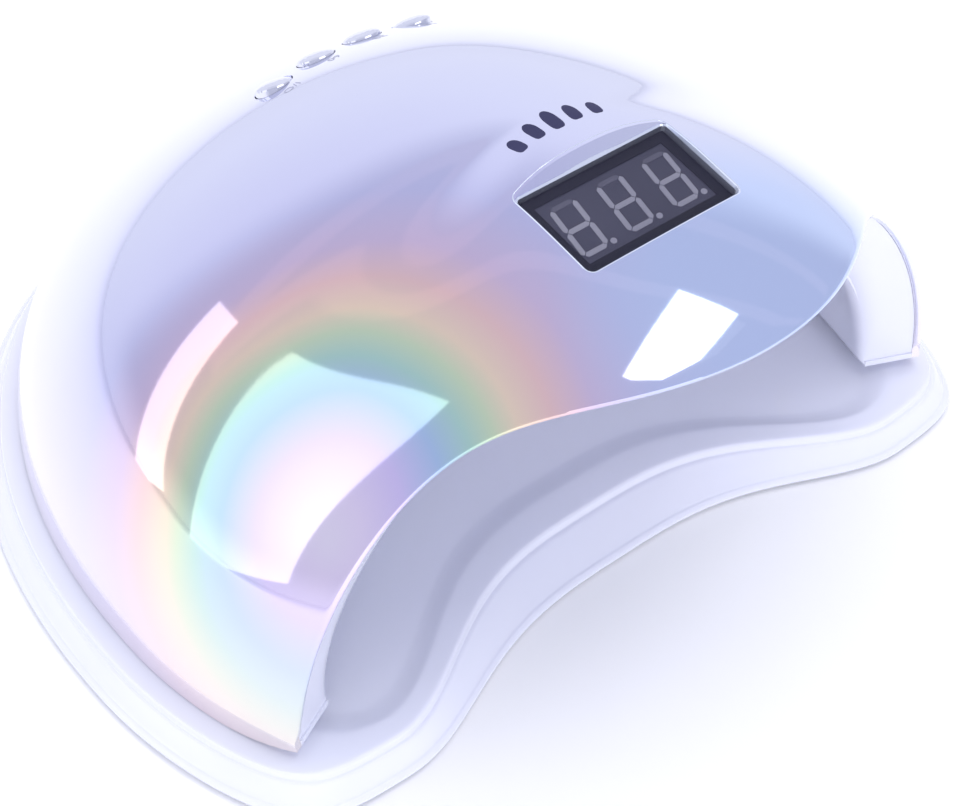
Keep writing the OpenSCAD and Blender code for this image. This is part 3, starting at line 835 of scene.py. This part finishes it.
def make_floor():
    ob = add_object("floor", [(-3000, -3000, 0), (3000, -3000, 0), (3000, 3000, 0), (-3000, 3000, 0)],
                    [(0, 1, 2, 3)])
    ob.data.materials.append(mottled("floor_white", (0.96, 0.96, 0.97), (0.98, 0.98, 0.985), 3,
                                     Roughness=0.6))


def dot_with(nodes, links, way, axis):
    node = nodes.new("ShaderNodeVectorMath")
    node.operation = "DOT_PRODUCT"
    node.inputs[1].default_value = Vector(axis).normalized()
    links.new(way, node.inputs[0])
    return node.outputs["Value"]


def band(nodes, links, value, low, high, edge=0.006):
    """White where value lies between two limits, from -1 to 1, and black elsewhere."""
    shift = nodes.new("ShaderNodeMapRange")
    shift.inputs["From Min"].default_value = -1
    links.new(value, shift.inputs["Value"])
    a, b = (low + 1) / 2, (high + 1) / 2
    return ramp(nodes, links, shift.outputs["Result"], (
        (a - edge, (0, 0, 0)), (a, (1, 1, 1)), (b, (1, 1, 1)), (b + edge, (0, 0, 0))))


def make_world():
    """A studio: a bright sweep behind, a dim lavender ceiling with two pale beams across
    it, and a soft glow just above the horizon."""
    world = bpy.data.worlds.new("studio")
    bpy.context.scene.world = world
    world.use_nodes = True
    nodes, links = world.node_tree.nodes, world.node_tree.links
    way = nodes.new("ShaderNodeTexCoord").outputs["Generated"]
    sweep = nodes.new("ShaderNodeMapRange")
    sweep.interpolation_type = "SMOOTHSTEP"
    sweep.inputs["From Min"].default_value, sweep.inputs["From Max"].default_value = 0.40, 0.62
    links.new(dot_with(nodes, links, way, (0.49, 0.85, -0.17)), sweep.inputs["Value"])
    dim, bright, beam = (nodes.new("ShaderNodeRGB") for _ in range(3))
    dim.outputs[0].default_value = (0.54, 0.56, 0.69, 1)
    bright.outputs[0].default_value = (0.83, 0.85, 0.95, 1)
    beam.outputs[0].default_value = (0.60, 0.60, 0.72, 1)
    colour = mix_colour(nodes, links, sweep.outputs["Result"], dim.outputs[0], bright.outputs[0])
    for axis, low, high in (((-0.42, -0.69, 0.60), -0.03, 0.03), ((0.64, 0.71, -0.30), -0.035, 0.03)):
        line = band(nodes, links, dot_with(nodes, links, way, axis), low, high)
        above = band(nodes, links, dot_with(nodes, links, way, (0, 0, 1)), 0.4, 1.0, 0.02)
        both = nodes.new("ShaderNodeMath")
        both.operation = "MULTIPLY"
        links.new(line, both.inputs[0])
        links.new(above, both.inputs[1])
        colour = mix_colour(nodes, links, both.outputs[0], colour, beam.outputs[0])
    rise = nodes.new("ShaderNodeMapRange")
    rise.interpolation_type = "SMOOTHSTEP"
    limits = (("From Min", -0.02), ("From Max", 0.13), ("To Min", 1.0), ("To Max", 0.0))
    for key, value in limits:
        rise.inputs[key].default_value = value
    links.new(dot_with(nodes, links, way, (0, 0, 1)), rise.inputs["Value"])
    glow = nodes.new("ShaderNodeRGB")
    glow.outputs[0].default_value = (0.80, 0.82, 0.93, 1)
    colour = mix_colour(nodes, links, rise.outputs["Result"], colour, glow.outputs[0])
    links.new(colour, nodes["Background"].inputs["Color"])


def softbox(name, place, target, size, radiance, roll=0, colour=(1, 1, 1), mirrored=True):
    """A rectangular light of that brightness, turned to face its target."""
    light = bpy.data.lights.new(name, "AREA")
    light.shape, light.size, light.size_y = "RECTANGLE", size[0], size[1]
    light.energy, light.color = radiance * math.pi * size[0] * size[1], colour
    ob = bpy.data.objects.new(name, light)
    bpy.context.collection.objects.link(ob)
    ob.location = place
    ob.rotation_mode = "QUATERNION"
    facing = (Vector(target) - Vector(place)).to_track_quat("-Z", "Y")
    ob.rotation_quaternion = facing @ Quaternion((0, 0, 1), math.radians(roll))
    ob.visible_camera = False
    ob.visible_glossy = mirrored
    return ob


def make_camera():
    azimuth, elevation, roll = math.radians(-40.54), math.radians(44.32), math.radians(1.13)
    target, distance = Vector((-0.0256, -0.0502, 0.05)), 0.4701
    back = Vector((math.sin(azimuth) * math.cos(elevation),
                   -math.cos(azimuth) * math.cos(elevation), math.sin(elevation)))
    data = bpy.data.cameras.new("camera")
    data.lens, data.sensor_width = 80.7, 36
    data.clip_start = 0.01
    ob = bpy.data.objects.new("camera", data)
    bpy.context.collection.objects.link(ob)
    ob.location = target + back * distance
    ob.rotation_mode = "QUATERNION"
    ob.rotation_quaternion = (-back).to_track_quat("-Z", "Y") @ Quaternion((0, 0, 1), roll)
    bpy.context.scene.camera = ob


# ---- assembly ------------------------------------------------------------

make_camera()
make_cover()
make_bezel()
make_mask()
make_digits()
make_reflector()
make_led_cups()
make_tray()
make_emblem()
make_key_labels()

slots = {row["node"]: row["material_slot"] for row in frame["record"]["subparts"]}
for node, ob in frame["nodes"].items():
    material = MATERIALS[slots[node]]
    if not ob.material_slots:
        continue
    for material_slot in ob.material_slots:
        material_slot.material = material

make_floor()
make_world()
bpy.context.scene.view_settings.view_transform = "Standard"
softbox("left_box", (-1.1, 0.42, 0.46), (-0.08, -0.06, 0.07), (0.52, 1.0), 0.66, roll=20)
softbox("left_strip", (-1.1, 1.13, 0.40), (-0.08, -0.06, 0.07), (0.2, 0.95), 0.80, roll=30)
softbox("top_box", (0.18, -0.33, 1.1), (0, -0.1, 0.1), (0.75, 0.30), 1.5, roll=-12)
softbox("overhead", (0.3, 0.3, 2.2), (0, 0, 0), (2.6, 2.6), 1.25, colour=(1, 0.99, 0.94),
        mirrored=False)
softbox("front_fill", (-1.0, -1.7, 0.9), (0, 0, 0.03), (1.8, 1.2), 2.9, colour=(1, 0.99, 0.95),
        mirrored=False)
